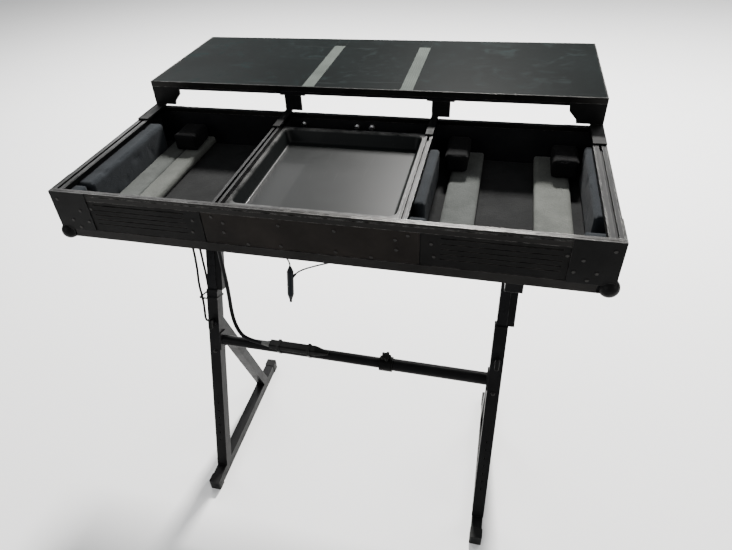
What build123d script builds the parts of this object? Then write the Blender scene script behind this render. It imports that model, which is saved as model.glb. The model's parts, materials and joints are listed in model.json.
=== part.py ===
from build123d import *
import math
import os

# Equipment console on a height-adjustable stand. Millimetres, +Z up, +Y to the back, +X to the
# operator's right. Origin: middle of the bounding box, at floor level.

# ---------------------------------------------------------------- driving dimensions
case_w = 1200.0          # overall width of the console case
case_d = 488.0           # overall depth of the console case
case_h = 120.0           # overall height of the console case
rim_z = 1127.0           # height of the case rim above the floor
front_y = -443.0         # front face of the case
ply = 9.0                # plywood wall thickness
skin = 3.0               # metal edging outside the plywood
rim_h = 12.0             # height of the rim extrusions
divider_x = 197.0        # middle of each divider
platform_rise = 70.0     # top of the sliding platform above the rim
platform_d = 410.0       # depth of the sliding platform
column_x = 425.0         # middle of each column, out from the middle of the stand
stand_x = -2.0           # middle of the stand, across the case
lean = 18.25             # columns lean back by this angle
foot_front_y = -453.0
foot_rear_y = 106.0
foot_w = 32.0
foot_top = 37.0
column_base_y = -366.0   # column axis where it meets the foot
outer_tube = 35.0        # square outer column tube
inner_tube = 27.0        # square inner column tube
tube_wall = 2.0
outer_top_z = 637.0      # top of the outer column tube
bar_z = 478.0            # axis of the crossbar

# ---------------------------------------------------------------- derived places
half_w = case_w / 2
rear_y = front_y + case_d
bottom_z = rim_z - case_h
floor_z = bottom_z + 2.0             # underside of the case's floor board
deck_z = floor_z + ply               # top of the case's floor board
liner_t = 8.0
well_z = deck_z + liner_t            # top of the floor liners
wall_top = rim_z - rim_h
inner_front = front_y + skin + ply   # inside of the front wall
inner_rear = rear_y - skin - ply     # inside of the rear wall
inner_side = half_w - skin - ply     # inside of each side wall
divider_in = divider_x - ply / 2
divider_face = divider_x + ply / 2
rail_w = 30.0
divider_rail_w = 18.0
side_slot_x = half_w - rail_w / 2
slope = math.tan(math.radians(lean))
lean_cos = math.cos(math.radians(lean))
lean_sin = math.sin(math.radians(lean))
bar_y = column_base_y + (bar_z - foot_top) * slope
top_z = rim_z + platform_rise
platform_rear = rear_y + platform_d

os.makedirs("parts", exist_ok=True)


def save(name, builder):
    builder.part.label = name
    export_step(builder.part, f"parts/{name}.step")


def block(x0, x1, y0, y1, z0, z1, mode=Mode.ADD):
    """Box between two corners, in the current part."""
    with Locations(((x0 + x1) / 2, (y0 + y1) / 2, (z0 + z1) / 2)):
        Box(abs(x1 - x0), abs(y1 - y0), abs(z1 - z0), mode=mode)


def along_y(x, y, z):
    """Plane for profiles drawn across the depth: local x is +X, local y is +Z, extrusion runs to -Y."""
    return Plane(origin=(x, y, z), x_dir=(1, 0, 0), z_dir=(0, -1, 0))


def along_x(x, y, z):
    """Plane for profiles drawn across the width: local x is +Y, local y is +Z, extrusion runs to +X."""
    return Plane(origin=(x, y, z), x_dir=(0, 1, 0), z_dir=(1, 0, 0))


def column_plane(x):
    """Base of a column: local z runs up the leaning axis, local -y is the column's front."""
    return Plane(origin=(x, column_base_y, foot_top), x_dir=(1, 0, 0), z_dir=(0, lean_sin, lean_cos))


def up_column(z):
    """Distance along the column axis at which it reaches height z."""
    return (z - foot_top) / lean_cos


# ================================================================ console case
tray_y0 = front_y + 26
tray_y1 = front_y + 418
tray_top = rim_z - 12.0
tray_sheet = 1.5
batten_w = 6.5

with BuildPart() as case_floor:
    block(-half_w + skin, half_w - skin, front_y + skin, rear_y - skin, floor_z, deck_z)
save("case_floor", case_floor)

with BuildPart() as front_wall:
    block(-half_w + skin, half_w - skin, front_y + skin, inner_front, deck_z, wall_top)
save("front_wall", front_wall)

with BuildPart() as rear_wall:
    block(-half_w + skin, half_w - skin, inner_rear, rear_y - skin, deck_z, wall_top)
save("rear_wall", rear_wall)

with BuildPart() as side_walls:
    for s in (-1, 1):
        block(s * inner_side, s * (half_w - skin), inner_front, inner_rear, deck_z, wall_top)
save("side_walls", side_walls)

with BuildPart() as dividers:
    for s in (-1, 1):
        block(s * divider_in, s * divider_face, inner_front, inner_rear, deck_z, wall_top)
        block(
            s * (divider_in - batten_w), s * divider_in, tray_y0, tray_y1,
            tray_top - 26, tray_top - tray_sheet,
        )
save("dividers", dividers)

# ---- rim extrusions: the front and rear ones are ribbed, the side ones carry a T slot
rim_w = skin + ply
groove = 1.6
rim_outline = [
    (0, 0),
    (rim_w, 0),
    (rim_w, -rim_h),
    (skin, -rim_h),
    (skin, -rim_h - 8),
    (0, -rim_h - 8),
]
rear_rim_half = half_w - rail_w
front_rim = along_x(-half_w, front_y, rim_z)
rear_rim = Plane(origin=(rear_rim_half, rear_y, rim_z), x_dir=(0, -1, 0), z_dir=(-1, 0, 0))
with BuildPart() as rim_trims:
    for rim_plane, rim_length in ((front_rim, case_w), (rear_rim, 2 * rear_rim_half)):
        with BuildSketch(rim_plane):
            with BuildLine():
                Polyline(*rim_outline, close=True)
            make_face()
            with Locations((rim_w * 0.38, -groove / 2)):
                Rectangle(groove, groove, mode=Mode.SUBTRACT)
            with Locations((groove * 0.4, -rim_h * 0.6)):
                Rectangle(groove * 0.8, groove, mode=Mode.SUBTRACT)
        extrude(amount=rim_length)
save("rim_trims", rim_trims)

slot_neck = 7.0
slot_head = 13.0
slot_lip = 2.5
slot_depth = 8.0


def slotted_rail(width, lip_w):
    """Rail with a T slot from its top face, local origin at the middle of the top face."""
    with Locations((0, -rim_h / 2)):
        Rectangle(width, rim_h)
    with Locations((0, -slot_depth / 2)):
        Rectangle(slot_neck, slot_depth, mode=Mode.SUBTRACT)
    with Locations((0, -(slot_lip + slot_depth) / 2)):
        Rectangle(slot_head, slot_depth - slot_lip, mode=Mode.SUBTRACT)
    if lip_w:
        for s in (-1, 1):
            with Locations((s * (width / 2 - 2.6), -groove / 2)):
                Rectangle(lip_w, groove, mode=Mode.SUBTRACT)


rail_len = rear_y - (front_y + rim_w)
with BuildPart() as slotted_rails:
    for s in (-1, 1):
        with BuildSketch(along_y(s * side_slot_x, rear_y, rim_z)):
            slotted_rail(rail_w, groove)
    extrude(amount=rail_len)
    for s in (-1, 1):
        block(s * (half_w - skin), s * half_w, front_y + rim_w, rear_y, wall_top - 8, wall_top)
    for s in (-1, 1):
        with BuildSketch(along_y(s * divider_x, inner_rear, rim_z)):
            slotted_rail(divider_rail_w, 0)
    extrude(amount=inner_rear - inner_front)
save("slotted_rails", slotted_rails)

# ---- outside edging: bottom angles, upright corner angles, corner plates, ball corners
angle_leg = 22.0
angle_foot = 30.0
angle_t = 2.0
upright_leg = 26.0
upright_z0 = bottom_z + angle_leg + 0.5
upright_z1 = wall_top - 8.5
with BuildPart() as edge_angles:
    for s in (-1, 1):
        x_out = s * half_w
        x_in = s * (half_w - angle_t)
        block(x_in, x_out, front_y, rear_y, bottom_z, bottom_z + angle_leg)
        block(s * (half_w - angle_foot), x_in, front_y, rear_y, bottom_z, floor_z)
    for y_out, t in ((front_y, 1), (rear_y, -1)):
        reach = half_w - angle_foot - 0.5
        block(-reach, reach, y_out, y_out + t * angle_foot, bottom_z, floor_z)
        block(-reach, reach, y_out, y_out + t * angle_t, floor_z, bottom_z + angle_leg)
    for sx in (-1, 1):
        for y_out, t in ((front_y, 1), (rear_y, -1)):
            block(
                sx * (half_w - upright_leg), sx * half_w,
                y_out, y_out + t * angle_t, upright_z0, upright_z1,
            )
            block(
                sx * (half_w - angle_t), sx * half_w,
                y_out + t * angle_t, y_out + t * upright_leg, upright_z0, upright_z1,
            )
save("edge_angles", edge_angles)

plate_t = 1.6
plate_front = 88.0
plate_side = 80.0
plate_z0 = bottom_z + angle_leg - 2
plate_z1 = rim_z
with BuildPart() as corner_plates:
    for sx in (-1, 1):
        for y_out, t in ((front_y, -1), (rear_y, 1)):
            x_out = sx * (half_w + plate_t)
            block(sx * (half_w - plate_front), x_out, y_out, y_out + t * plate_t, plate_z0, plate_z1)
            block(sx * half_w, x_out, y_out, y_out - t * plate_side, plate_z0, plate_z1)
save("corner_plates", corner_plates)

ball_r = 20.0
ball_in = 8.0
with BuildPart() as ball_corners:
    for sx in (-1, 1):
        for y_out, t in ((front_y, 1), (rear_y, -1)):
            with Locations((sx * (half_w - ball_in), y_out + t * ball_in, bottom_z + ball_in + 3)):
                Sphere(ball_r)
    block(-half_w, half_w, front_y, rear_y, bottom_z, rim_z, mode=Mode.SUBTRACT)
    block(
        -half_w - plate_t, half_w + plate_t, front_y - plate_t, rear_y + plate_t,
        plate_z0, rim_z, mode=Mode.SUBTRACT,
    )
save("ball_corners", ball_corners)

# ---- front face: smooth middle plate between two ribbed panels
panel_z0 = bottom_z + angle_leg + 1
panel_z1 = wall_top - 9
centre_face = front_y + 1.2
side_face = front_y + 0.6
centre_half = 233.0
with BuildPart() as front_centre_plate:
    block(-centre_half, centre_half, centre_face, front_y + skin, panel_z0, panel_z1)
save("front_centre_plate", front_centre_plate)

rib_x0 = centre_half + 3
rib_x1 = half_w - plate_front - 1
rib_slot_x0 = 274.0
rib_slot_x1 = 499.0
with BuildPart() as front_side_panels:
    for s in (-1, 1):
        block(s * rib_x0, s * rib_x1, side_face, front_y + skin, panel_z0, panel_z1)
        x_mid = s * (rib_slot_x0 + rib_slot_x1) / 2
        for drop, height in ((28, 4.0), (42, 1.6), (54, 1.6), (66, 1.6), (78, 1.6)):
            with Locations((x_mid, side_face + groove / 2, rim_z - drop)):
                Box(rib_slot_x1 - rib_slot_x0, groove, height, mode=Mode.SUBTRACT)
save("front_side_panels", front_side_panels)

# ---- rivets: flat round heads on the plates and on the rim
rivet_r = 3.6
rivet_h = 1.4
plate_rivets = [(535, 46), (563, 73), (549, 91), (585, 20), (522, 74)]
wall_rivets = [(185, 43), (187, 67), (135, 92), (210, 30), (60, 36), (60, 88)]
panel_rivets = [(256, 44), (262, 74), (506, 40)]
with BuildPart() as case_rivets:
    for s in (-1, 1):
        for depth, spots in (
            (front_y - plate_t, plate_rivets), (centre_face, wall_rivets), (side_face, panel_rivets),
        ):
            for x, drop in spots:
                with BuildSketch(along_y(s * x, depth, rim_z - drop)):
                    Circle(rivet_r)
                extrude(amount=rivet_h, taper=20)
        for y in (front_y + 14, front_y + 40, front_y + 66, rear_y - 14, rear_y - 40, rear_y - 66):
            with BuildSketch(along_x(s * (half_w + plate_t), y, rim_z - 50)):
                Circle(rivet_r)
            extrude(amount=s * rivet_h)
save("case_rivets", case_rivets)

# ---- centre well: coved metal tray hung on the dividers' battens
tray_half = 190.0
tray_depth = 34.0
tray_corner = 22.0
tray_mid = (tray_y0 + tray_y1) / 2
with BuildPart() as centre_tray:
    with BuildSketch(Plane.XY.offset(tray_top)):
        with Locations((0, tray_mid)):
            RectangleRounded(2 * tray_half - 16, tray_y1 - tray_y0 - 16, tray_corner)
    extrude(amount=-tray_depth, taper=20)
    fillet(centre_tray.faces().sort_by(Axis.Z)[0].edges(), 7)
    offset(amount=-tray_sheet, openings=centre_tray.faces().sort_by(Axis.Z)[-1])
    with BuildSketch(Plane.XY.offset(tray_top)):
        with Locations((0, tray_mid)):
            Rectangle(2 * tray_half, tray_y1 - tray_y0)
            RectangleRounded(
                2 * tray_half - 17, tray_y1 - tray_y0 - 17, tray_corner - 0.5, mode=Mode.SUBTRACT,
            )
    extrude(amount=-tray_sheet)
save("centre_tray", centre_tray)

with BuildPart() as rear_terminals:
    for x in (-151, -4, 36):
        with BuildSketch(along_y(x, inner_rear, rim_z - 27)):
            RegularPolygon(8.5, 8)
        extrude(amount=7)
        with BuildSketch(along_y(x, inner_rear - 7, rim_z - 27)):
            Circle(5)
        extrude(amount=6)
save("rear_terminals", rear_terminals)

# ---- foam packing of the two side wells
gap = 0.5
foam_t = 22.0
foam_top = well_z + foam_t
pad_z1 = rim_z - 15.0
foam_y0 = inner_front + gap
foam_y1 = inner_rear - gap

with BuildPart() as floor_liners:
    for s in (-1, 1):
        block(s * (divider_face + gap), s * (inner_side - gap), foam_y0, foam_y1, deck_z, well_z)
save("floor_liners", floor_liners)

with BuildPart() as floor_foam_strips:
    for x0, x1 in ((-534, -478.5), (-478, -426), (256, 330), (452, 532)):
        block(x0, x1, foam_y0, foam_y1, well_z, foam_top)
save("floor_foam_strips", floor_foam_strips)

with BuildPart() as well_pads:
    block(-inner_side + gap, -536, front_y + 62, front_y + 400, well_z, rim_z - 13)
    block(556, inner_side - gap, front_y + 100, front_y + 411, well_z, pad_z1)
    block(-224, -divider_face - gap, front_y + 40, front_y + 240, well_z, pad_z1)
    block(divider_face + gap, 229, front_y + 97, front_y + 350, well_z, pad_z1)
    block(-inner_side + gap, -545, foam_y0, front_y + 58, well_z, rim_z - 13)
    block(divider_face + gap, 241, foam_y0, front_y + 50, well_z, rim_z - 13)
    block(533, inner_side - gap, foam_y0, front_y + 50, well_z, rim_z - 13)
save("well_pads", well_pads)

with BuildPart() as rear_foam_blocks:
    block(-498, -432, front_y + 372, front_y + 455, foam_top + gap, rim_z - 32)
    block(240, 296, front_y + 352, front_y + 466, foam_top + gap, rim_z - 32)
    block(488, 548, front_y + 357, front_y + 450, foam_top + gap, rim_z - 32)
save("rear_foam_blocks", rear_foam_blocks)

# ================================================================ sliding platform
trim_h = 15.0
trim_t = 3.0
board_t = 9.0
surface_t = 2.5
board_top = top_z - surface_t
board_z = board_top - board_t
batten_z = rim_z + 46.0
post_t = 5.0
strip_w = 32.0
strip_left = -138.0
strip_right = 123.0
strip_rear = rear_y + 340.0
platform_y0 = rear_y + trim_t
platform_y1 = platform_rear - trim_t

with BuildPart() as platform_board:
    block(-half_w + trim_t, half_w - trim_t, platform_y0, platform_y1, board_z, board_top)
save("platform_board", platform_board)

with BuildPart() as platform_panels:
    edges_x = (
        (-half_w + trim_t, strip_left - strip_w / 2),
        (strip_left + strip_w / 2, strip_right - strip_w / 2),
        (strip_right + strip_w / 2, half_w - trim_t),
    )
    for x0, x1 in edges_x:
        block(x0 + 0.4, x1 - 0.4, platform_y0 + 0.4, platform_y1 - 0.4, board_top, top_z - 0.5)
    for x in (strip_left, strip_right):
        block(x - strip_w / 2, x + strip_w / 2, strip_rear + 0.5, platform_y1 - 0.4, board_top, top_z - 0.8)
save("platform_panels", platform_panels)

with BuildPart() as grip_strips:
    for x in (strip_left, strip_right):
        block(x - strip_w / 2, x + strip_w / 2, platform_y0 + 0.4, strip_rear, board_top, top_z)
save("grip_strips", grip_strips)

with BuildPart() as platform_edging:
    with BuildSketch(Plane.XY.offset(top_z - trim_h)):
        with Locations((0, (rear_y + platform_rear) / 2)):
            Rectangle(case_w, platform_d)
            Rectangle(case_w - 2 * trim_t, platform_d - 2 * trim_t, mode=Mode.SUBTRACT)
    extrude(amount=trim_h)
    chamfer(platform_edging.edges().group_by(Axis.Z)[-1].filter_by(GeomType.LINE), 0.8)
save("platform_edging", platform_edging)

with BuildPart() as platform_battens:
    for y in (rear_y + post_t + 0.5, platform_y1 - 25):
        block(-half_w + trim_t, half_w - trim_t, y, y + 24, batten_z, board_z)
save("platform_battens", platform_battens)

# ---- posts: shaped plates under the platform's front edge, on shoes that run in the rails
post_y0 = rear_y
shoe_front = -58.0
shoe_z0 = rim_z + 0.3
shoe_t = 4.0
shoe_z1 = shoe_z0 + shoe_t
post_top = batten_z
with BuildPart() as end_posts:
    for s in (-1, 1):
        with BuildSketch(along_y(0, post_y0 + post_t, 0)) as end_plate:
            with BuildLine():
                Polyline(
                    (s * half_w, top_z - trim_h),
                    (s * (half_w - 84), top_z - trim_h),
                    (s * (half_w - 82), post_top - 12),
                    (s * (half_w - 64), shoe_z1 + 10),
                    (s * (half_w - 62), shoe_z1),
                    (s * half_w, shoe_z1),
                    close=True,
                )
            make_face()
            levels = end_plate.vertices().group_by(Axis.Y)
            fillet(levels[1] + levels[2], 5)
        extrude(amount=post_t)
        with BuildSketch(along_x(s * half_w, 0, 0)):
            with BuildLine():
                Polyline(
                    (post_y0 + post_t, top_z - trim_h),
                    (post_y0 + post_t, shoe_z1),
                    (post_y0 + 22, shoe_z1),
                    (post_y0 + 110, top_z - trim_h - 12),
                    (post_y0 + 110, top_z - trim_h),
                    close=True,
                )
            make_face()
        extrude(amount=-s * 2.9)
save("end_posts", end_posts)

mid_offset = 22.0
mid_w = 46.0
with BuildPart() as mid_posts:
    for x in (-divider_x, divider_x):
        xc = x + mid_offset / 2 + 4
        block(xc - mid_w / 2, xc + mid_w / 2, post_y0, post_y0 + post_t, shoe_z1, post_top)
        xl = xc - mid_w / 2
        block(xl - 14, xl + mid_w + 10, post_y0 + post_t, post_y0 + 46, post_top - 3, post_top)
        block(xl, xl + 3, post_y0 + post_t, post_y0 + 40, shoe_z1 + 14, post_top - 3)
save("mid_posts", mid_posts)


def shoe_tongue(x, y0, y1):
    """T-shaped tongue that hangs from a shoe into a rail slot."""
    block(x - slot_neck / 2 + 0.4, x + slot_neck / 2 - 0.4, y0, y1, rim_z - slot_lip - 0.6, shoe_z0)
    block(
        x - slot_head / 2 + 0.4, x + slot_head / 2 - 0.4, y0, y1,
        rim_z - slot_depth + 0.4, rim_z - slot_lip - 0.4,
    )


with BuildPart() as glide_shoes:
    for s in (-1, 1):
        block(s * (half_w - rail_w), s * half_w, shoe_front, post_y0 + post_t, shoe_z0, shoe_z1)
        shoe_tongue(s * side_slot_x, shoe_front, rear_y - 2)
        x = s * divider_x
        block(x - 9, x + 9, shoe_front, post_y0 + post_t, shoe_z0, shoe_z1)
        shoe_tongue(x, shoe_front, inner_rear - 3)
save("glide_shoes", glide_shoes)

# ================================================================ stand
brace_tube = 32.0
brace_top = (bar_y + 30, 519.0)      # y and z where the brace axis meets the back of the column
brace_foot = (-4.0, foot_top)
knob_z = 541.0
bolt_z = 444.0
screw_r = 4.0
hole_count = 7                       # row of holes up the front of each outer column
hole_low_z = 130.0
hole_pitch = 26.7
hole_r = 3.0
cap_len = 32.0
cap_wall = 2.0
travel_inside = 320.0                # lower end of the inner column, measured up the axis
flange_rise = 5.0                    # thickness of the bush's flange, on top of the outer tube
arm_h = 36.0
arm_w = 36.0
arm_z1 = bottom_z - 2.5
arm_z0 = arm_z1 - arm_h
arm_front = {"left": -388.0, "right": -424.0}
arm_y1 = 32.0
arm_cap = 5.0                        # plastic plug that closes the arm's front end


def square_tube(size, wall):
    Rectangle(size, size)
    Rectangle(size - 2 * wall, size - 2 * wall, mode=Mode.SUBTRACT)


def foot_tube(x):
    with BuildPart() as foot:
        with BuildSketch(along_y(x, foot_rear_y - cap_wall, (foot_top + cap_wall) / 2)):
            Rectangle(foot_w, foot_top - cap_wall)
            Rectangle(foot_w - 2 * tube_wall, foot_top - cap_wall - 2 * tube_wall, mode=Mode.SUBTRACT)
        extrude(amount=foot_rear_y - foot_front_y - 2 * cap_wall)
    return foot


def foot_caps(x):
    """Moulded end caps: cups over both ends of the foot tube that also keep it off the floor."""
    with BuildPart() as caps:
        w = foot_w / 2 + cap_wall
        block(x - w, x + w, foot_front_y, foot_front_y + cap_len, 0, foot_top + cap_wall)
        block(x - w, x + w, foot_rear_y - cap_len, foot_rear_y, 0, foot_top + cap_wall)
        fillet(caps.edges().filter_by(Axis.Z), 4)
        block(
            x - foot_w / 2, x + foot_w / 2, foot_front_y + cap_wall, foot_rear_y - cap_wall,
            cap_wall, foot_top, mode=Mode.SUBTRACT,
        )
    return caps


def outer_column(x):
    with BuildPart() as column:
        with BuildSketch(column_plane(x).offset(-20)):
            square_tube(outer_tube, tube_wall)
        extrude(amount=up_column(outer_top_z) + 20)
        split(bisect_by=Plane.XY.offset(foot_top), keep=Keep.TOP)
        with BuildSketch(front_plane(x, knob_z, outer_tube / 2)):
            Circle(11)
        extrude(amount=9)
        with BuildSketch(front_plane(x, knob_z, outer_tube / 2 - 5)):
            Circle(screw_r + 0.05)
        extrude(amount=20, mode=Mode.SUBTRACT)
        for i in range(hole_count):
            with BuildSketch(front_plane(x, hole_low_z + i * hole_pitch, outer_tube / 2 - 5)):
                Circle(hole_r)
            extrude(amount=10, mode=Mode.SUBTRACT)
    return column


def front_plane(x, z, out):
    """Plane on the column's front side, at axis height z, a distance out from the axis, facing forward."""
    base = column_plane(x)
    along = up_column(z)
    origin = base.origin + base.z_dir * along - base.y_dir * out
    return Plane(origin=origin, x_dir=(1, 0, 0), z_dir=(0, -lean_cos, lean_sin))


def column_bush(x):
    """Plastic guide bush: a sleeve inside the outer tube with a flange on its top end."""
    sleeve = outer_tube - 2 * tube_wall - 0.2
    with BuildPart() as bush:
        with BuildSketch(column_plane(x).offset(up_column(outer_top_z) - 40)):
            Rectangle(sleeve, sleeve)
        extrude(amount=40)
        with BuildSketch(column_plane(x).offset(up_column(outer_top_z))):
            RectangleRounded(outer_tube + 0.8, outer_tube + 0.8, 3)
        extrude(amount=flange_rise)
        with BuildSketch(column_plane(x).offset(up_column(outer_top_z) - 41)):
            Rectangle(inner_tube + 0.6, inner_tube + 0.6)
        extrude(amount=50, mode=Mode.SUBTRACT)
    return bush


def brace(x):
    """Square tube from the back of the column down to the top of the foot, mitred at both ends."""
    dy = brace_foot[0] - brace_top[0]
    dz = brace_foot[1] - brace_top[1]
    length = math.hypot(dy, dz)
    unit = (0, dy / length, dz / length)
    start = (x, brace_top[0] - unit[1] * 60, brace_top[1] - unit[2] * 60)
    base = column_plane(x)
    back = Plane(
        origin=base.origin + base.y_dir * (outer_tube / 2),
        x_dir=(1, 0, 0),
        z_dir=(0, lean_cos, -lean_sin),
    )
    with BuildPart() as tube:
        with BuildSketch(Plane(origin=start, x_dir=(1, 0, 0), z_dir=unit)):
            square_tube(brace_tube, tube_wall)
        extrude(amount=length + 120)
        split(bisect_by=Plane.XY.offset(foot_top), keep=Keep.TOP)
        split(bisect_by=back, keep=Keep.TOP)
    return tube


def column_bolt(x):
    """Domed bolt head on a washer, on the front of the outer column."""
    with BuildPart() as bolt:
        with BuildSketch(front_plane(x, bolt_z, outer_tube / 2)):
            Circle(6)
        extrude(amount=1.5)
        with BuildSketch(front_plane(x, bolt_z, outer_tube / 2 + 1.5)):
            Circle(4)
        extrude(amount=3)
        fillet(bolt.faces().sort_by(Axis.Y)[0].edges(), 2)
    return bolt


def lock_knob(x):
    """Wing knob on a threaded stud that clamps the inner column."""
    tip = inner_tube / 2 + 0.4
    boss_face = outer_tube / 2 + 9
    with BuildPart() as knob:
        with BuildSketch(front_plane(x, knob_z, tip)):
            Circle(screw_r)
        extrude(amount=boss_face + 2 - tip)
        with BuildSketch(front_plane(x, knob_z, boss_face + 0.5)):
            Circle(8.5)
        extrude(amount=6)
        with BuildSketch(front_plane(x, knob_z, boss_face + 4)):
            SlotCenterToCenter(20, 12, rotation=90)
        extrude(amount=12)
        fillet(knob.faces().sort_by(Axis.Y)[0].edges(), 2.5)
    return knob


def inner_column(x):
    with BuildPart() as column:
        with BuildSketch(column_plane(x).offset(travel_inside)):
            square_tube(inner_tube, tube_wall)
        extrude(amount=up_column(arm_z0) + 30 - travel_inside)
        split(bisect_by=Plane.XY.offset(arm_z0), keep=Keep.BOTTOM)
    return column


strap_x = inner_tube / 2 + 0.3       # inner side of the stop strap, out from the column's axis
strap_w = 19.0
strap_d = 22.0
stop_gap = 0.5                       # left between the stop strap and the flange at the lowest height


def support_head(x, front):
    """Arm under the case, with the stop strap that runs down the inner column to the bush."""
    head_y = column_base_y + (arm_z0 - foot_top) * slope
    with BuildPart() as head:
        with BuildSketch(along_y(x, arm_y1, (arm_z0 + arm_z1) / 2)):
            Rectangle(arm_w, arm_h)
            Rectangle(arm_w - 2 * tube_wall, arm_h - 2 * tube_wall, mode=Mode.SUBTRACT)
        extrude(amount=arm_y1 - front)
        block(x - arm_w / 2, x + arm_w / 2, front, front + arm_cap, arm_z0, arm_z1)
        chamfer(head.faces().sort_by(Axis.Y)[0].edges(), 1.5)
        block(
            x + inner_tube / 2 + 0.5, x + strap_x + strap_w, head_y - 30, head_y + 22, arm_z0 - 10, arm_z0,
        )
        with BuildSketch(column_plane(x).offset(up_column(outer_top_z) + flange_rise + stop_gap)):
            with Locations((strap_x + strap_w / 2, 0)):
                Rectangle(strap_w, strap_d)
        extrude(until=Until.NEXT)
    return head


def arm_pads(x, front, clearance):
    """Rubber pads on the arm: the case stands on them."""
    with BuildPart() as pads:
        for y in (front + 42, arm_y1 - 60):
            block(x - 14, x + 14, y - 30, y + 30, arm_z1, bottom_z - clearance)
    return pads


for side, sx in (("left", -1), ("right", 1)):
    x = stand_x + sx * column_x
    save(f"{side}_foot", foot_tube(x))
    save(f"{side}_foot_caps", foot_caps(x))
    save(f"{side}_outer_column", outer_column(x))
    save(f"{side}_column_bush", column_bush(x))
    save(f"{side}_brace", brace(x))
    save(f"{side}_column_bolt", column_bolt(x))
    save(f"{side}_lock_knob", lock_knob(x))
    save(f"{side}_inner_column", inner_column(x))
    save(f"{side}_support_head", support_head(x, arm_front[side]))
    save(f"{side}_arm_pads", arm_pads(x, arm_front[side], 0.0 if sx < 0 else 0.3))

# ---- telescoping crossbar
bar_inner_r = 15.5
bar_bore_r = 15.8
bar_outer_r = 18.0
bar_joint_x = 97.0                   # left end of the outer tube
bar_inner_end = 250.0
flange_t = 4.0
bar_left = stand_x - column_x + outer_tube / 2
bar_right = stand_x + column_x - outer_tube / 2
flange_h = 56.0
flange_d = 35.0


def flange_plane(x_plate):
    """Lower edge of the plate that ends a bar, lying against the side of the leaning column."""
    return column_plane(x_plate).offset(up_column(bar_z) - flange_h / 2)


with BuildPart() as crossbar_inner:
    with BuildSketch(flange_plane(bar_left + flange_t / 2)):
        Rectangle(flange_t, flange_d)
    extrude(amount=flange_h)
    with BuildSketch(along_x(bar_left + flange_t, bar_y, bar_z)):
        Circle(bar_inner_r)
    extrude(amount=bar_inner_end - bar_left - flange_t)
    with BuildSketch(along_x(bar_left + flange_t, bar_y, bar_z)):
        Circle(bar_inner_r - tube_wall)
    extrude(amount=bar_inner_end - bar_left, mode=Mode.SUBTRACT)
save("crossbar_inner", crossbar_inner)

collar_x0 = bar_joint_x - 2
collar_x1 = collar_x0 + 38
collar_r = 22.0
knob_x = (collar_x0 + collar_x1) / 2
with BuildPart() as crossbar_outer:
    with BuildSketch(along_x(bar_joint_x, bar_y, bar_z)):
        Circle(bar_outer_r)
    extrude(amount=bar_right - flange_t - bar_joint_x)
    with BuildSketch(flange_plane(bar_right - flange_t / 2)):
        Rectangle(flange_t, flange_d)
    extrude(amount=flange_h)
    with BuildSketch(along_x(bar_joint_x - 1, bar_y, bar_z)):
        Circle(bar_bore_r)
    extrude(amount=bar_right - flange_t - bar_joint_x + 1, mode=Mode.SUBTRACT)
    with BuildSketch(Plane(origin=(knob_x, bar_y, bar_z))):
        Circle(screw_r + 0.05)
    extrude(amount=40, mode=Mode.SUBTRACT)
save("crossbar_outer", crossbar_outer)

collar_boss_z = bar_z + collar_r + 3
with BuildPart() as crossbar_collar:
    with BuildSketch(along_x(collar_x0, bar_y, bar_z)):
        Circle(collar_r)
    extrude(amount=collar_x1 - collar_x0)
    with BuildSketch(Plane(origin=(knob_x, bar_y, bar_z))):
        Circle(9)
    extrude(amount=collar_r + 3)
    with BuildSketch(along_x(collar_x0, bar_y, bar_z)):
        Circle(bar_bore_r)
    extrude(amount=collar_x1 - collar_x0, mode=Mode.SUBTRACT)
    with BuildSketch(along_x(bar_joint_x, bar_y, bar_z)):
        Circle(bar_outer_r + 0.1)
    extrude(amount=collar_x1 - bar_joint_x, mode=Mode.SUBTRACT)
    with BuildSketch(Plane(origin=(knob_x, bar_y, bar_z))):
        Circle(screw_r + 0.05)
    extrude(amount=40, mode=Mode.SUBTRACT)
save("crossbar_collar", crossbar_collar)

with BuildPart() as crossbar_knob:
    with BuildSketch(Plane(origin=(knob_x, bar_y, bar_z + bar_inner_r + 0.4))):
        Circle(screw_r)
    extrude(amount=collar_boss_z + 2 - bar_z - bar_inner_r)
    with BuildSketch(Plane(origin=(knob_x, bar_y, collar_boss_z + 0.5))):
        Circle(11)
        with PolarLocations(11, 5):
            Circle(4.5)
    extrude(amount=11)
    fillet(crossbar_knob.faces().sort_by(Axis.Z)[-1].edges(), 2)
save("crossbar_knob", crossbar_knob)

# ================================================================ power supply and cables
brick_x0 = -240.0
brick_x1 = -98.0
brick_d = 28.0
brick_nose = 40.0                    # tapered moulding at the right end
brick_y1 = bar_y + 1
brick_y0 = brick_y1 - brick_d
brick_z0 = bar_z + bar_inner_r + 0.5
brick_z1 = brick_z0 + 18
brick_cy = (brick_y0 + brick_y1) / 2
brick_cz = (brick_z0 + brick_z1) / 2
with BuildPart() as power_brick:
    block(brick_x0, brick_x1, brick_y0, brick_y1, brick_z0, brick_z1)
    fillet(power_brick.edges().filter_by(Axis.X), 4)
    with BuildSketch(along_x(brick_x1, brick_cy, brick_cz)):
        RectangleRounded(brick_d, brick_z1 - brick_z0, 4)
    with BuildSketch(along_x(brick_x1 + brick_nose, brick_cy, brick_cz - 3)):
        RectangleRounded(12, 8, 3)
    loft()
save("power_brick", power_brick)

with BuildPart() as power_plug:
    with BuildSketch(along_x(brick_x0, brick_cy, brick_cz)):
        RectangleRounded(20, 14, 3)
    with BuildSketch(along_x(brick_x0 - 28, brick_cy, brick_cz)):
        RectangleRounded(9, 9, 3)
    loft()
save("power_plug", power_plug)


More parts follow.
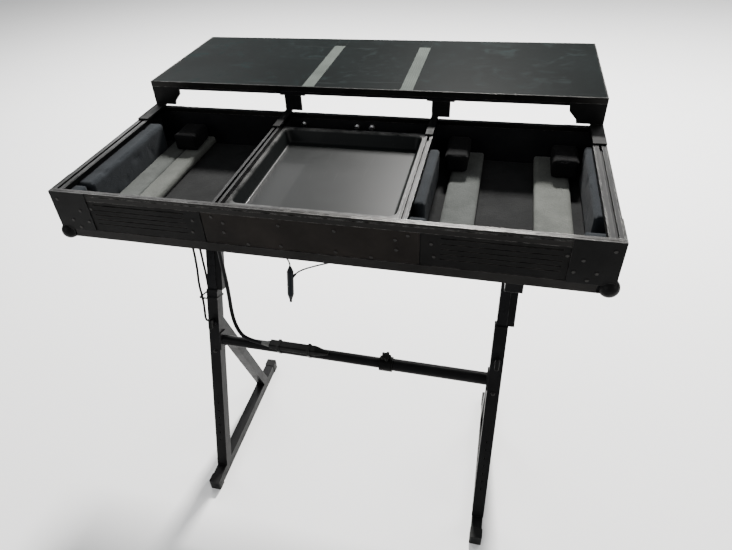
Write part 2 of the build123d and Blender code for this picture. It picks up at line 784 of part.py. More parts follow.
def tube_along(points, diameter, name):
    """Cord tube: straight runs joined by arcs as large as the runs allow."""
    radii = []
    for a, b, c in zip(points, points[1:], points[2:]):
        into = Vector(*b) - Vector(*a)
        out = Vector(*c) - Vector(*b)
        half_turn = math.radians(into.get_angle(out)) / 2
        radii.append(0.45 * min(into.length, out.length) / math.tan(half_turn))
    with BuildPart() as cord:
        with BuildLine():
            path = FilletPolyline(*points, radius=radii)
        with BuildSketch(Plane(origin=path @ 0, z_dir=path % 0)):
            Circle(diameter / 2)
        sweep()
    section = math.pi * diameter ** 2 / 4
    ratio = cord.part.volume / (section * path.length)
    print(name, "length", round(path.length), "volume ratio", round(ratio, 4))
    print("  radii", [round(r, 1) for r in radii])
    return cord


grommet_h = 7.0
cord_top = floor_z - grommet_h
plug_end = brick_x0 - 28
riser_d = 12.0
riser_route = [
    (-378, -170, cord_top),
    (-378, -170, 920),
    (-375, -174, 830),
    (-378, -171, 740),
    (-376, -175, 665),
    (-379, -174, 615),
    (-377, -183, 572),
    (-366, -199, 541),
    (-348, -215, 520),
    (-326, -227, 508),
    (plug_end - 12, brick_cy, brick_cz),
    (plug_end, brick_cy, brick_cz),
]
riser = tube_along(riser_route, riser_d, "riser_cable")
save("riser_cable", riser)

loop_d = 7.0
tie_z = 614.0
tie_y = column_base_y + (tie_z - foot_top) * slope
loop_x = stand_x - column_x - outer_tube / 2 - 6.5
strand = 16.0                        # the two strands hang this far each side of the column's axis
fold_z = 534.0
fold_y = column_base_y + (fold_z - foot_top) * slope
loop_route = [
    (-476, -150, cord_top),
    (-476, -150, 932),
    (-473, -153, 861),
    (-467, -160, 790),
    (-464, -170, 723),
    (loop_x - 10, tie_y - strand + 2, 668),
    (loop_x - 7, tie_y - strand - 1, 620),
    (loop_x - 3, fold_y - strand + 13, 584),
    (loop_x - 1, fold_y - strand + 1, fold_z + 17),
    (loop_x, fold_y, fold_z),
    (loop_x, fold_y + strand, fold_z + 15),
    (loop_x - 1, fold_y + strand + 10, 580),
    (loop_x - 2, tie_y + strand, 616),
    (loop_x - 3, tie_y + strand + 9, 665),
    (-456, -146, 721),
    (-459, -138, 788),
    (-462, -130, 859),
    (-464, -124, 931),
    (-464, -124, cord_top),
]
loop = tube_along(loop_route, loop_d, "loop_cable")
save("loop_cable", loop)

hang_y = -380.0
lead_d = 3.6
plug_top = Vector(-74, hang_y, 934)
plug_low = Vector(-85, hang_y, 826)
plug_dir = (plug_low - plug_top).normalized()
plug_in = plug_top - plug_dir * 18
short_route = [
    (-94, hang_y, cord_top),
    (-94, hang_y, 974),
    tuple(plug_in),
    tuple(plug_top),
]
short_lead = tube_along(short_route, lead_d, "hanging_lead_short")
save("hanging_lead_short", short_lead)

boot_root = Vector(-78, hang_y, 896)
boot_end = Vector(-63, hang_y, 914)
boot_dir = (boot_end - boot_root).normalized()
side_in = boot_end + boot_dir * 16
side_route = [
    (48, hang_y + 8, cord_top),
    (48, hang_y + 8, 982),
    (30, hang_y + 5, 958),
    (-4, hang_y + 1, 948),
    tuple(side_in),
    tuple(boot_end),
]
side_lead = tube_along(side_route, lead_d, "hanging_lead_side")
save("hanging_lead_side", side_lead)

plug_r = 8.0
boot_len = 14.0                      # lengths down the plug: boot, sleeve, taper, pin
sleeve_len = 70.0
taper_len = 17.0
pin_len = 7.6


def across_plug(along):
    """Plane square to the hanging plug's axis, a distance below its top."""
    return Plane(origin=plug_top + plug_dir * along, x_dir=(0, 1, 0), z_dir=plug_dir)


with BuildPart() as hanging_plug:
    with BuildSketch(across_plug(0)):
        Circle(3.2)
    with BuildSketch(across_plug(boot_len)):
        Circle(plug_r)
    loft()
    with BuildSketch(across_plug(boot_len)):
        Circle(plug_r)
    extrude(amount=sleeve_len)
    with BuildSketch(across_plug(boot_len + sleeve_len)):
        Circle(plug_r)
    with BuildSketch(across_plug(boot_len + sleeve_len + taper_len)):
        Circle(3.6)
    loft()
    with BuildSketch(across_plug(boot_len + sleeve_len + taper_len)):
        Circle(3.2)
    extrude(amount=pin_len)
    with BuildSketch(Plane(origin=boot_root, x_dir=(0, 1, 0), z_dir=boot_dir)):
        Circle(4)
    with BuildSketch(Plane(origin=boot_end, x_dir=(0, 1, 0), z_dir=boot_dir)):
        Circle(2.7)
    loft()
save("hanging_plug", hanging_plug)

with BuildPart() as cable_grommets:
    for route, d in ((riser_route, 19), (loop_route, 13), (short_route, 10), (side_route, 10)):
        with Locations((route[0][0], route[0][1], floor_z - grommet_h / 2)):
            Cylinder(d / 2, grommet_h)
    with Locations((loop_route[-1][0], loop_route[-1][1], floor_z - grommet_h / 2)):
        Cylinder(6.5, grommet_h)
save("cable_grommets", cable_grommets)

tie_w = 5.0
tie_t = 1.4
tie_out = 20.0                       # how far the tie reaches past the column's left side


def strap_outline(gap):
    """Outline drawn tight round the power supply and the bar behind it."""
    with Locations((bar_y, bar_z)):
        Circle(bar_inner_r + gap)
    with Locations((brick_cy, brick_cz)):
        Rectangle(brick_d + 2 * gap, brick_z1 - brick_z0 + 2 * gap)
    make_hull()


with BuildPart() as cable_ties:
    with BuildSketch(column_plane(stand_x - column_x).offset(up_column(tie_z))):
        with Locations((-tie_out / 2, 0)):
            tie_x = outer_tube + tie_out
            tie_depth = 2 * strand + loop_d + 8
            RectangleRounded(tie_x + 2 * tie_t, tie_depth + 2 * tie_t, 3)
            Rectangle(tie_x, tie_depth, mode=Mode.SUBTRACT)
    extrude(amount=tie_w)
    for x in (brick_x0 + 24, brick_x1 - 24):
        with BuildSketch(along_x(x, 0, 0)):
            strap_outline(1.5)
        extrude(amount=8)
        with BuildSketch(along_x(x, 0, 0)):
            strap_outline(0.3)
        extrude(amount=8, mode=Mode.SUBTRACT)
save("cable_ties", cable_ties)
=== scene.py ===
import json
import math

import bmesh
import bpy
from mathutils import Matrix, Vector, noise


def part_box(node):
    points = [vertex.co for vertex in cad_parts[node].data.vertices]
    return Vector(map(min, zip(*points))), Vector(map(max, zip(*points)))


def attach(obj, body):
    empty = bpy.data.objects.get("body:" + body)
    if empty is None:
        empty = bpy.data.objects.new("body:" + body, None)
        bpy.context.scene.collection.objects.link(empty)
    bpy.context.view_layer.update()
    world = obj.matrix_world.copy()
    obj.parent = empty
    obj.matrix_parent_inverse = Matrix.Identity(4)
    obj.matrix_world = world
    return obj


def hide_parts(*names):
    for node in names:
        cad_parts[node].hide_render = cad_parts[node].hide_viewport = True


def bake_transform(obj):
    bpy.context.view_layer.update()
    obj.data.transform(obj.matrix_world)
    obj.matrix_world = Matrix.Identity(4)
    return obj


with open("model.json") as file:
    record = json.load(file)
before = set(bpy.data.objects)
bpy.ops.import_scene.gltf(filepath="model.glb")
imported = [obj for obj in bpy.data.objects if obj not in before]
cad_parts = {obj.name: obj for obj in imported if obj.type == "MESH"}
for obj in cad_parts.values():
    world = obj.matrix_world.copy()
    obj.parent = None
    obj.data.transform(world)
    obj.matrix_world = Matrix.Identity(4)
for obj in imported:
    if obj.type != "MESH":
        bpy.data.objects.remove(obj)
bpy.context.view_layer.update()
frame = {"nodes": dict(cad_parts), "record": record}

nodes = frame["nodes"]


def add_mesh(name, bm, smooth=True):
    """Turn a bmesh into an object in the scene."""
    mesh = bpy.data.meshes.new(name)
    bm.to_mesh(mesh)
    bm.free()
    for face in mesh.polygons:
        face.use_smooth = smooth
    obj = bpy.data.objects.new(name, mesh)
    bpy.context.collection.objects.link(obj)
    return obj


def through_rings(name, rings):
    """A closed solid through rings of points, each ring joined to the next."""
    bm = bmesh.new()
    loops = [[bm.verts.new(point) for point in ring] for ring in rings]
    for low, high in zip(loops, loops[1:]):
        for k in range(len(low)):
            j = (k + 1) % len(low)
            bm.faces.new((low[k], low[j], high[j], high[k]))
    bm.faces.new(loops[0][::-1])
    bm.faces.new(loops[-1])
    bmesh.ops.recalc_face_normals(bm, faces=bm.faces)
    return add_mesh(name, bm)


# ---------------------------------------------------------------- camera
# The lens is in millimetres, and the shifts are shares of the picture's width.
azimuth, elevation, roll = math.radians(-16.92), math.radians(37.69), math.radians(-4.19)
camera_place = (0.3587, -1.3583, 1.7430)
focal_length, sensor_width = 28.3672, 36.0
shift_right, shift_up = 0.02732, -0.01134

level = math.cos(elevation)
forward = Vector((math.sin(azimuth) * level, math.cos(azimuth) * level, -math.sin(elevation)))
right = Vector((math.cos(azimuth), -math.sin(azimuth), 0.0))
up = right.cross(forward)
rolled_right = right * math.cos(roll) + up * math.sin(roll)
rolled_up = up * math.cos(roll) - right * math.sin(roll)
camera_data = bpy.data.cameras.new("camera")
camera_data.sensor_width = sensor_width
camera_data.lens = focal_length
camera_data.shift_x = shift_right
camera_data.shift_y = shift_up
camera_data.clip_start = 0.05
camera_data.clip_end = 200.0
camera = bpy.data.objects.new("camera", camera_data)
turn = Matrix((rolled_right, rolled_up, -forward)).transposed().to_4x4()
camera.matrix_world = Matrix.Translation(camera_place) @ turn
bpy.context.collection.objects.link(camera)
bpy.context.scene.camera = camera

# ---------------------------------------------------------------- floor and light
floor_reach = 30.0
floor_mesh = bmesh.new()
bmesh.ops.create_grid(floor_mesh, x_segments=1, y_segments=1, size=floor_reach)
floor = add_mesh("floor", floor_mesh, smooth=False)


def area_light(name, place, target, size, power, color=(1, 1, 1)):
    """A rectangular soft light at a place, aimed at a target."""
    data = bpy.data.lights.new(name, "AREA")
    data.shape = "RECTANGLE"
    data.size, data.size_y = size
    data.energy = power
    data.color = color
    obj = bpy.data.objects.new(name, data)
    obj.location = place
    aim = Vector(target) - Vector(place)
    obj.rotation_euler = aim.to_track_quat("-Z", "Y").to_euler()
    bpy.context.collection.objects.link(obj)


area_light("key", (0.1, 3.3, 4.27), (0, -0.1, 1.1), (0.55, 0.45), 720, (1.0, 0.985, 0.96))
area_light("fill", (-2.6, -3.6, 2.6), (0, -0.2, 0.8), (3.0, 2.5), 45, (0.96, 0.98, 1.0))
area_light("rim_right", (3.6, -1.6, 2.4), (0, -0.1, 0.9), (2.0, 2.2), 35, (1.0, 0.97, 0.93))
for side in (-1, 1):
    area_light("backdrop", (side * 2.9, 3.2, 3.2), (side * 2.6, 3.2, 0), (2.6, 2.6), 170)

world = bpy.data.worlds.new("world")
world.use_nodes = True
background = world.node_tree.nodes["Background"]
background.inputs["Color"].default_value = (0.97, 0.98, 0.99, 1)
background.inputs["Strength"].default_value = 0.42
bpy.context.scene.world = world


# ---------------------------------------------------------------- material tools
class Shade:
    """A procedural material: nodes are added to it by short calls."""

    def __init__(self, name, roughness=0.5, metallic=0.0, specular=0.5, coat=0.0):
        self.mat = bpy.data.materials.new(name)
        self.mat.use_nodes = True
        self.tree = self.mat.node_tree
        self.bsdf = self.tree.nodes["Principled BSDF"]
        self.bsdf.inputs["Roughness"].default_value = roughness
        self.bsdf.inputs["Metallic"].default_value = metallic
        self.bsdf.inputs["Specular IOR Level"].default_value = specular
        self.bsdf.inputs["Coat Weight"].default_value = coat
        self.coord = self.tree.nodes.new("ShaderNodeTexCoord").outputs["Object"]
        self.normal = None

    def node(self, kind, **values):
        """A new node with some of its settings."""
        n = self.tree.nodes.new(kind)
        for key, value in values.items():
            setattr(n, key, value)
        return n

    def link(self, source, target):
        """Join an output to an input."""
        self.tree.links.new(source, target)

    def spread(self, scale=(1, 1, 1)):
        """Object coordinates, stretched along each axis."""
        n = self.node("ShaderNodeMapping")
        n.inputs["Scale"].default_value = scale
        self.link(self.coord, n.inputs["Vector"])
        return n.outputs["Vector"]

    def noise(self, scale, detail=4.0, rough=0.6, stretch=(1, 1, 1), distortion=0.0):
        """Cloudy noise from 0 to 1."""
        n = self.node("ShaderNodeTexNoise")
        n.inputs["Scale"].default_value = scale
        n.inputs["Detail"].default_value = detail
        n.inputs["Roughness"].default_value = rough
        n.inputs["Distortion"].default_value = distortion
        self.link(self.spread(stretch), n.inputs["Vector"])
        return n.outputs["Fac"]

    def cells(self, scale):
        """The distance to the middle of the nearest of many small cells."""
        n = self.node("ShaderNodeTexVoronoi", feature="F1")
        n.inputs["Scale"].default_value = scale
        self.link(self.spread(), n.inputs["Vector"])
        return n.outputs["Distance"]

    def along(self, axis):
        """One object coordinate, in metres: 0 for x, 1 for y, 2 for z."""
        n = self.node("ShaderNodeSeparateXYZ")
        self.link(self.coord, n.inputs[0])
        return n.outputs[axis]

    def ramp(self, fac, low, high, flip=False):
        """0 below low, 1 above high, or the other way round."""
        n = self.node("ShaderNodeMapRange")
        n.inputs["From Min"].default_value = low
        n.inputs["From Max"].default_value = high
        n.inputs["To Min"].default_value = 1.0 if flip else 0.0
        n.inputs["To Max"].default_value = 0.0 if flip else 1.0
        self.link(fac, n.inputs["Value"])
        return n.outputs["Result"]

    def math(self, op, a, b):
        """A sum or product of two sockets or numbers."""
        n = self.node("ShaderNodeMath", operation=op)
        for socket, value in zip(n.inputs, (a, b)):
            if isinstance(value, (int, float)):
                socket.default_value = value
            else:
                self.link(value, socket)
        return n.outputs["Value"]

    def mix(self, fac, a, b):
        """A colour between two others."""
        n = self.node("ShaderNodeMix", data_type="RGBA")
        for socket, value in ((n.inputs["Factor"], fac), (n.inputs[6], a), (n.inputs[7], b)):
            if isinstance(value, (int, float)):
                socket.default_value = value
            elif isinstance(value, tuple):
                socket.default_value = (*value, 1.0)
            else:
                self.link(value, socket)
        return n.outputs[2]

    def mix_value(self, fac, a, b):
        """A number between two others."""
        n = self.node("ShaderNodeMapRange")
        n.inputs["To Min"].default_value = a
        n.inputs["To Max"].default_value = b
        self.link(fac, n.inputs["Value"])
        return n.outputs["Result"]

    def color(self, value):
        """Use a socket as the base colour."""
        self.link(value, self.bsdf.inputs["Base Color"])

    def roughness(self, value):
        """Use a socket as the roughness."""
        self.link(value, self.bsdf.inputs["Roughness"])

    def bump(self, height, strength, distance):
        """Add relief to the surface, on top of any relief already there."""
        n = self.node("ShaderNodeBump")
        n.inputs["Strength"].default_value = strength
        n.inputs["Distance"].default_value = distance
        self.link(height, n.inputs["Height"])
        if self.normal:
            self.link(self.normal, n.inputs["Normal"])
        self.normal = n.outputs["Normal"]
        self.link(self.normal, self.bsdf.inputs["Normal"])

    def patchy_edge_mask(self, radius=0.002):
        """1 along edges, broken up by noise."""
        least, most = 0.02, 0.25
        bevel = self.node("ShaderNodeBevel", samples=4)
        bevel.inputs["Radius"].default_value = radius
        geometry = self.node("ShaderNodeNewGeometry")
        dot = self.node("ShaderNodeVectorMath", operation="DOT_PRODUCT")
        self.link(bevel.outputs["Normal"], dot.inputs[0])
        self.link(geometry.outputs["Normal"], dot.inputs[1])
        edge = self.ramp(dot.outputs["Value"], 1 - most, 1 - least, flip=True)
        return self.math("MULTIPLY", edge, self.ramp(self.noise(60, 5), 0.38, 0.62))


def paint(name, dark, light, rough, grain=900, edge=None):
    """Painted or powder-coated metal and moulded plastic: mottled colour, fine grain, worn edges."""
    s = Shade(name, specular=0.07)
    base = s.mix(s.ramp(s.noise(7, 6, 0.65), 0.35, 0.7), dark, light)
    smudge = s.ramp(s.noise(26, 5, 0.6, distortion=0.6), 0.45, 0.75)
    s.roughness(s.mix_value(s.math("MULTIPLY", smudge, 0.8), *rough))
    if edge:
        base = s.mix(s.patchy_edge_mask(), base, edge)
    s.color(base)
    s.bump(s.noise(grain, 3), 0.25, 0.0002)
    return s


def brushed(name, dark, light, rough, stretch, edge=None):
    """Anodised or mill-finish metal with a drawn grain and dulled patches."""
    s = Shade(name, metallic=1.0)
    streak = s.noise(160, 4, 0.6, stretch)
    patch = s.ramp(s.noise(9, 5), 0.3, 0.7)
    base = s.mix(s.math("MULTIPLY", s.math("ADD", streak, patch), 0.5), dark, light)
    # On the rim and rail trims the light edge tone is worn bare metal and also a painted highlight along the
    # ridges.
    if edge:
        base = s.mix(s.patchy_edge_mask(0.0015), base, edge)
    s.color(base)
    s.roughness(s.mix_value(patch, *rough))
    s.bump(streak, 0.12, 0.0002)
    return s


def foam(name, dark, light, cell=420, sheen=0.03):
    """Open-cell foam: matt, pitted and faintly stained, with painted shade in the pits."""
    s = Shade(name, roughness=0.95, specular=0.15)
    s.bsdf.inputs["Sheen Weight"].default_value = sheen
    s.bsdf.inputs["Sheen Roughness"].default_value = 0.6
    pits = s.cells(cell)
    base = s.mix(s.ramp(s.noise(11, 6, 0.65), 0.3, 0.72), dark, light)
    # Painted shade: the colour is darkened towards the bottom of each pit.
    depth = s.math("MULTIPLY", s.ramp(pits, 0.15, 0.6, flip=True), 0.35)
    s.color(s.mix(depth, base, tuple(c * 0.45 for c in dark)))
    s.bump(s.noise(70, 5), 0.35, 0.002)
    s.bump(pits, 0.5, 0.0012)
    return s


def platform_shade(name):
    """Dark laminate, scuffed where equipment is set down: teal-black, with pale wear by the edges."""
    s = Shade(name, roughness=0.4, specular=0.012)
    tone = s.ramp(s.noise(3.2, 7, 0.62), 0.32, 0.7)
    base = s.mix(tone, (0.0020, 0.0031, 0.0030), (0.0044, 0.0064, 0.0064))
    scuff = s.ramp(s.noise(14, 8, 0.7, distortion=1.2), 0.55, 0.78)
    base = s.mix(s.math("MULTIPLY", scuff, 0.6), base, (0.0150, 0.0265, 0.0270))
    rub = s.ramp(s.noise(45, 6, 0.75, (0.35, 1.0, 1.0), 0.8), 0.58, 0.80)
    base = s.mix(s.math("MULTIPLY", rub, 0.45), base, (0.0250, 0.0410, 0.0415))
    scratch = s.ramp(s.noise(90, 2, 0.4, (0.06, 1.0, 1.0), 0.4), 0.68, 0.76)
    base = s.mix(s.math("MULTIPLY", scratch, 0.25), base, (0.035, 0.040, 0.040))
    base = s.mix(s.patchy_edge_mask(0.003), base, (0.05, 0.058, 0.056))
    s.color(base)
    s.roughness(s.mix_value(scuff, 0.4, 0.66))
    s.bump(s.noise(260, 3), 0.12, 0.0003)
    return s


def tray_shade(name):
    """Smooth black sheet metal, slightly dusty, with fine hairlines and a painted highlight along the top of
    the folded lips.
    """
    s = Shade(name, specular=0.08, coat=0.02)
    tone = s.ramp(s.noise(4, 5, 0.6), 0.3, 0.7)
    base = s.mix(tone, (0.0050, 0.0060, 0.0060), (0.0068, 0.0078, 0.0078))
    dust = s.ramp(s.noise(24, 6, 0.6), 0.45, 0.85)
    base = s.mix(s.math("MULTIPLY", dust, 0.08), base, (0.020, 0.022, 0.022))
    hair = s.ramp(s.noise(140, 2, 0.4, (1.0, 0.05, 1.0), 0.3), 0.70, 0.78)
    base = s.mix(s.math("MULTIPLY", hair, 0.12), base, (0.05, 0.052, 0.052))
    lip_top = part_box("centre_tray")[1][2]
    # Painted highlight: a band along the top of the folded lips, broken up by noise, is drawn lighter.
    highlight_band = s.ramp(s.along(2), lip_top - 0.005, lip_top - 0.002)
    lip_highlight = s.math("MULTIPLY", highlight_band, s.ramp(s.noise(30, 4), 0.3, 0.6))
    base = s.mix(s.math("MULTIPLY", lip_highlight, 0.7), base, (0.10, 0.10, 0.098))
    s.color(base)
    s.roughness(s.mix_value(dust, 0.40, 0.44))
    s.bump(s.noise(300, 3), 0.1, 0.0001)
    return s


def grip_shade(name):
    """Grey-green rubber strip with fine ribs."""
    s = Shade(name, roughness=0.75, specular=0.1)
    ribs = s.node("ShaderNodeTexWave", wave_type="BANDS", bands_direction="X")
    ribs.inputs["Scale"].default_value = 55.0
    s.link(s.coord, ribs.inputs["Vector"])
    base = s.mix(s.ramp(s.noise(12, 5), 0.3, 0.7), (0.04, 0.050, 0.043), (0.072, 0.086, 0.075))
    base = s.mix(s.math("MULTIPLY", ribs.outputs["Fac"], 0.35), base, (0.018, 0.023, 0.02))
    s.color(base)
    s.bump(ribs.outputs["Fac"], 0.4, 0.0006)
    return s


# ---------------------------------------------------------------- materials
# Darker tone, lighter tone, clean and smudged roughness, scale of the grain, tone of the worn edges.
paints = {
    "black_board": ((0.004, 0.004, 0.0045), (0.010, 0.010, 0.011), (0.55, 0.8), 500, (0.03, 0.028, 0.025)),
    "edge_metal": ((0.009, 0.0085, 0.008), (0.020, 0.019, 0.018), (0.4, 0.6), 700, (0.09, 0.088, 0.085)),
    "corner_metal": ((0.0035, 0.0035, 0.0035), (0.008, 0.008, 0.008), (0.36, 0.58), 600, (0.06, 0.06, 0.06)),
    "front_metal": ((0.0075, 0.0062, 0.0054), (0.017, 0.014, 0.012), (0.42, 0.62), 700, (0.06, 0.055, 0.05)),
    "panel_metal": (
        (0.0035, 0.0034, 0.0033), (0.008, 0.0078, 0.0075), (0.45, 0.65), 600, (0.04, 0.038, 0.035),
    ),
    "stand_paint": (
        (0.003, 0.003, 0.0033), (0.0075, 0.0075, 0.008), (0.36, 0.55), 800, (0.045, 0.045, 0.045),
    ),
    "mast_paint": ((0.004, 0.004, 0.0045), (0.010, 0.010, 0.011), (0.25, 0.45), 800, (0.07, 0.07, 0.07)),
    "foot_plastic": ((0.004, 0.004, 0.004), (0.012, 0.012, 0.012), (0.4, 0.65), 900, (0.04, 0.04, 0.04)),
    "black_rubber": ((0.004, 0.004, 0.004), (0.010, 0.010, 0.010), (0.7, 0.9), 400),
    "shoe_plastic": ((0.004, 0.004, 0.004), (0.009, 0.009, 0.009), (0.5, 0.7)),
    "stand_plastic": ((0.003, 0.003, 0.003), (0.008, 0.008, 0.008), (0.4, 0.6)),
    "knob_plastic": ((0.003, 0.003, 0.003), (0.008, 0.008, 0.008), (0.3, 0.5)),
    "brick_plastic": ((0.004, 0.004, 0.004), (0.010, 0.010, 0.010), (0.4, 0.6), 500),
    "plug_grey": ((0.07, 0.07, 0.068), (0.13, 0.13, 0.125), (0.5, 0.7)),
    "plug_plastic": ((0.004, 0.005, 0.007), (0.010, 0.012, 0.015), (0.35, 0.55)),
    "cable_sheath": ((0.003, 0.003, 0.0035), (0.008, 0.008, 0.009), (0.35, 0.6), 500),
    "tie_plastic": ((0.004, 0.004, 0.004), (0.010, 0.010, 0.010), (0.35, 0.5)),
}
# Darker tone, lighter tone, polished and dulled roughness, stretch of the grain, tone of the worn edges; on
# the rim and rail trims the edge tone is worn bare metal and also a painted highlight along the ridges.
metals = {
    "rim_aluminium": (
        (0.009, 0.009, 0.009), (0.026, 0.025, 0.024), (0.34, 0.52), (0.03, 1, 1), (0.24, 0.235, 0.225),
    ),
    "rail_aluminium": (
        (0.004, 0.004, 0.0045), (0.013, 0.013, 0.013), (0.36, 0.52), (1, 0.03, 1), (0.13, 0.13, 0.125),
    ),
    "rivet_steel": ((0.012, 0.012, 0.012), (0.06, 0.059, 0.057), (0.3, 0.5), (1, 1, 1)),
    "terminal_metal": ((0.55, 0.55, 0.55), (0.8, 0.8, 0.8), (0.2, 0.35), (1, 1, 1)),
}
# Darker tone, lighter tone, scale of the cells, sheen.
foams = {
    "light_foam": ((0.050, 0.054, 0.051), (0.088, 0.094, 0.089)),
    "light_foam_pale": ((0.068, 0.072, 0.066), (0.115, 0.120, 0.110)),
    "pad_foam": ((0.0075, 0.0095, 0.012), (0.018, 0.0215, 0.0255)),
    "liner_foam": ((0.005, 0.0054, 0.0056), (0.0145, 0.015, 0.0152), 520, 0.015),
    "dark_foam": ((0.0012, 0.0012, 0.0015), (0.0035, 0.0035, 0.004), 380, 0.004),
}
own_shades = {
    "platform_laminate": platform_shade,
    "grip_rubber": grip_shade,
    "tray_metal": tray_shade,
}
shades = {name: paint(name, *look) for name, look in paints.items()}
shades.update({name: brushed(name, *look) for name, look in metals.items()})
shades.update({name: foam(name, *look) for name, look in foams.items()})
shades.update({name: make(name) for name, make in own_shades.items()})

slot_of = {p["node"]: p["material_slot"] for p in frame["record"]["subparts"]}
for name, obj in nodes.items():
    finish = shades[slot_of[name]].mat
    if not obj.material_slots:
        obj.data.materials.append(finish)
    for material_slot in obj.material_slots:
        material_slot.material = finish


def dress(piece, body, slot, node, shade=None):
    """Give a piece its finish and the body it moves with, and hide the CAD node it stands for."""
    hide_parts(node)
    if body:
        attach(piece, body)
    piece.data.materials.append(shades[shade or slot].mat)


# ---------------------------------------------------------------- strain reliefs
def strain_relief(name, place, hole, length, ribs=5, sides=24):
    """Ribbed, tapered rubber sleeve where a cord leaves the case's floor."""
    x, y = place
    flange, shoulder, neck = 0.0022, 0.0030, 0.0065
    profile = [(hole * 1.9, 0.0), (hole * 1.9, flange), (hole * 1.45, shoulder), (hole * 1.4, neck)]
    step = (length - neck) / ribs
    for i in range(ribs):
        start = neck + step * i
        wide = hole * (1.38 - 0.30 * i / ribs)
        narrow = wide * 0.9
        profile += [(wide, start + step * 0.08), (wide * 0.99, start + step * 0.6)]
        profile += [(narrow, start + step * 0.7), (narrow, start + step * 0.97)]
    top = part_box("case_floor")[0][2]
    angles = [2 * math.pi * k / sides for k in range(sides)]
    rings = []
    for radius, depth in profile:
        rings.append([(x + radius * math.cos(a), y + radius * math.sin(a), top - depth) for a in angles])
    piece = through_rings(name, rings)
    dress(piece, "console", "black_rubber", "cable_grommets")
    return piece


riser_exit = (-0.378, -0.170)
loop_exit = (-0.476, -0.150)
loop_return = (-0.464, -0.124)
short_exit = (-0.094, -0.380)
side_exit = (0.048, -0.372)
relief_riser = strain_relief("relief_riser", riser_exit, 0.006, 0.034)
relief_loop_out = strain_relief("relief_loop_out", loop_exit, 0.0036, 0.024)
relief_loop_back = strain_relief("relief_loop_back", loop_return, 0.0036, 0.024)
relief_short = strain_relief("relief_short", short_exit, 0.0026, 0.018)
relief_side = strain_relief("relief_side", side_exit, 0.0026, 0.015)


# ---------------------------------------------------------------- cords
cord_top = 1.002
lead_diameter = 0.0036


def smooth_path(name, points):
    """The points of a NURBS curve that has the route's points as its control points."""
    curve = bpy.data.curves.new(name, "CURVE")
    curve.dimensions = "3D"
    curve.resolution_u = 12
    spline = curve.splines.new("NURBS")
    spline.points.add(len(points) - 1)
    for target, point in zip(spline.points, points):
        target.co = (*point, 1.0)
    spline.order_u = 3
    spline.use_endpoint_u = True
    guide = bpy.data.objects.new(name, curve)
    bpy.context.collection.objects.link(guide)
    line = bpy.data.meshes.new_from_object(guide)
    path = [v.co.copy() for v in line.vertices]
    bpy.data.objects.remove(guide)
    bpy.data.meshes.remove(line)
    return path


def tube(name, path, radius, sides=14):
    """A round tube along a path, closed at both ends, without twist."""
    angles = [2 * math.pi * k / sides for k in range(sides)]
    side = Vector((1, 0, 0))
    rings = []
    for i, point in enumerate(path):
        ahead = path[min(i + 1, len(path) - 1)] - path[max(i - 1, 0)]
        ahead.normalize()
        side = (side - ahead * side.dot(ahead)).normalized()
        other = ahead.cross(side)
        rings.append([point + (side * math.cos(a) + other * math.sin(a)) * radius for a in angles])
    return through_rings(name, rings)


def cord(name, points, length, diameter, bends_above=None, **facts):
    """A cord that hangs from the case, drawn as a tube along a smooth route. One given a bending height is
    attached to no body and kept where it is drawn.
    """
    path = smooth_path(name + "_guide", points)
    piece = tube(name + "_sheath", path, diameter / 2)
    if bends_above is None:
        dress(piece, "console", "cable_sheath", name)
    else:
        dress(piece, None, "cable_sheath", name)
        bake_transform(piece)


plug_low, plug_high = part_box("power_plug")
plug_y = (plug_low[1] + plug_high[1]) / 2
plug_z = (plug_low[2] + plug_high[2]) / 2
cord(
    "riser_cable",
    [
        (*riser_exit, cord_top), (*riser_exit, 0.920), (-0.375, -0.174, 0.830),
        (-0.378, -0.171, 0.740), (-0.376, -0.175, 0.665), (-0.379, -0.174, 0.615),
        (-0.377, -0.183, 0.572), (-0.366, -0.199, 0.541), (-0.348, -0.215, 0.520),
        (-0.326, -0.227, 0.508), (plug_low[0] - 0.012, plug_y, plug_z), (plug_low[0], plug_y, plug_z),
    ],
    0.585, 0.012, bends_above=0.56, far_end="plug", stiffness="medium",
    with_pieces=[nodes["power_plug"], relief_riser],
)
cord(
    "loop_cable",
    [
        (*loop_exit, cord_top), (*loop_exit, 0.932), (-0.473, -0.153, 0.861),
        (-0.467, -0.160, 0.790), (-0.464, -0.170, 0.723), (-0.461, -0.18973, 0.668),
        (-0.458, -0.19273, 0.620), (-0.454, -0.20511, 0.584), (-0.452, -0.21711, 0.551),
        (-0.451, -0.20211, 0.534), (-0.451, -0.18611, 0.549), (-0.452, -0.17611, 0.580),
        (-0.453, -0.15973, 0.616), (-0.454, -0.15073, 0.665), (-0.456, -0.146, 0.721),
        (-0.459, -0.138, 0.788), (-0.462, -0.130, 0.859), (*loop_return, 0.931),
        (*loop_return, cord_top),
    ],
    0.958, 0.007, bends_above=0.60, far_end="object", stiffness="limp",
    with_pieces=[relief_loop_out, relief_loop_back],
)
cord(
    "hanging_lead_short",
    [
        (*short_exit, cord_top), (*short_exit, 0.974),
        (-0.07218, -0.380, 0.95191), (-0.074, -0.380, 0.934),
    ],
    0.075, lead_diameter, far_end="plug", stiffness="medium",
    with_pieces=[nodes["hanging_plug"], relief_short],
)
cord(
    "hanging_lead_side",
    [
        (-0.063, -0.380, 0.914), (-0.05276, -0.380, 0.92629), (-0.004, -0.379, 0.948),
        (0.030, -0.375, 0.958), (*side_exit, 0.982), (*side_exit, cord_top),
    ],
    0.153, lead_diameter, far_end="object", stiffness="medium",
    with_pieces=[relief_side],
)


# ---------------------------------------------------------------- foam
def ticks(low, high, radius, step):
    """Grid lines from one face of a foam piece to the other, close together near the edges."""
    inner = [low + radius * t for t in (0.0, 0.3, 0.65, 1.0)]
    outer = [high - radius * t for t in (1.0, 0.65, 0.3, 0.0)]
    span = high - low - 2 * radius
    count = max(1, round(span / step))
    return inner + [low + radius + span * i / count for i in range(1, count)] + outer


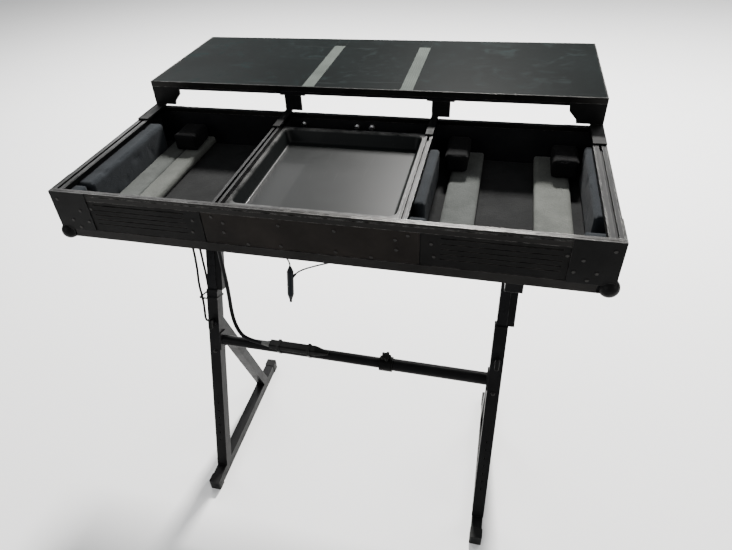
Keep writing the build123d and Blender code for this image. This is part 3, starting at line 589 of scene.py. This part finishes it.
def foam_piece(name, low, high, radius, ragged, seed, step=0.007):
    """One foam piece cut from sheet: soft edges, pressed and nibbled faces, all inside its own box."""
    low, high = Vector(low), Vector(high)
    axes = [ticks(low[n], high[n], radius, step) for n in range(3)]
    last = [len(lines) - 1 for lines in axes]
    bm = bmesh.new()
    made = {}
    shift = Vector((seed * 3.7, seed * 1.9, seed * 5.3))
    thinnest = 0.0004

    def vert(i, j, k):
        """The vertex at a place on the grid: waves, small pits and a few bites, deepest on edges."""
        if (i, j, k) not in made:
            at = Vector((axes[0][i], axes[1][j], axes[2][k]))
            core = Vector([min(max(at[n], low[n] + radius), high[n] - radius) for n in range(3)])
            out = (at - core).normalized()
            wave = 0.5 + 0.5 * noise.noise(at * 16 + shift)
            pitted = 0.5 + 0.5 * noise.noise(at * 75 + shift)
            bite = max(0.0, noise.noise(at * 34 - shift) - 0.38) * 5.0
            on_edge = sum(abs(c) > 0.2 for c in out) > 1
            depth = ragged * (0.55 * wave + 0.45 * pitted + 0.9 * bite) * (2.6 if on_edge else 1.0)
            made[(i, j, k)] = bm.verts.new(core + out * max(radius - depth, thinnest))
        return made[(i, j, k)]

    for flat in range(3):
        u, v = [n for n in range(3) if n != flat]
        for end in (0, last[flat]):
            for a in range(last[u]):
                for b in range(last[v]):
                    corners = []
                    for da, db in ((0, 0), (1, 0), (1, 1), (0, 1)):
                        index = [0, 0, 0]
                        index[flat], index[u], index[v] = end, a + da, b + db
                        corners.append(vert(*index))
                    bm.faces.new(corners)
    bmesh.ops.recalc_face_normals(bm, faces=bm.faces)
    return add_mesh(name, bm)


def solids_of(node):
    """The lowest and highest corner of each separate solid of a CAD node, in order."""
    bm = bmesh.new()
    bm.from_mesh(nodes[node].data)
    bmesh.ops.remove_doubles(bm, verts=bm.verts, dist=1e-6)
    left = set(bm.verts)
    boxes = []
    while left:
        queue = [left.pop()]
        seen = []
        while queue:
            v = queue.pop()
            seen.append(v.co.copy())
            for edge in v.link_edges:
                other = edge.other_vert(v)
                if other in left:
                    left.remove(other)
                    queue.append(other)
        low = [min(c[n] for c in seen) for n in range(3)]
        high = [max(c[n] for c in seen) for n in range(3)]
        boxes.append((low, high))
    bm.free()
    return sorted(boxes)


# Radius of the soft edges, depth of the ragged faces, slot.
foam_sets = {
    "floor_liners": (0.0025, 0.0007, "liner_foam"),
    "floor_foam_strips": (0.005, 0.0012, "light_foam"),
    "well_pads": (0.006, 0.0016, "pad_foam"),
    "rear_foam_blocks": (0.007, 0.0019, "dark_foam"),
}
# These strips take a paler copy of the strip foam.
paler_strips = ("floor_foam_strips_2", "floor_foam_strips_4")
seed = 1
for node, (radius, ragged, slot) in foam_sets.items():
    for i, (low, high) in enumerate(solids_of(node)):
        piece = foam_piece(f"{node}_{i + 1}", low, high, radius, ragged, seed)
        dress(piece, "console", slot, node, shade="light_foam_pale" if piece.name in paler_strips else None)
        seed += 1

# ---------------------------------------------------------------- studio floor
floor_shade = Shade("studio_floor", roughness=0.9, specular=0.1)
floor_shade.color(floor_shade.mix(floor_shade.noise(0.7, 2), (0.90, 0.90, 0.90), (0.93, 0.93, 0.93)))
floor.data.materials.append(floor_shade.mat)
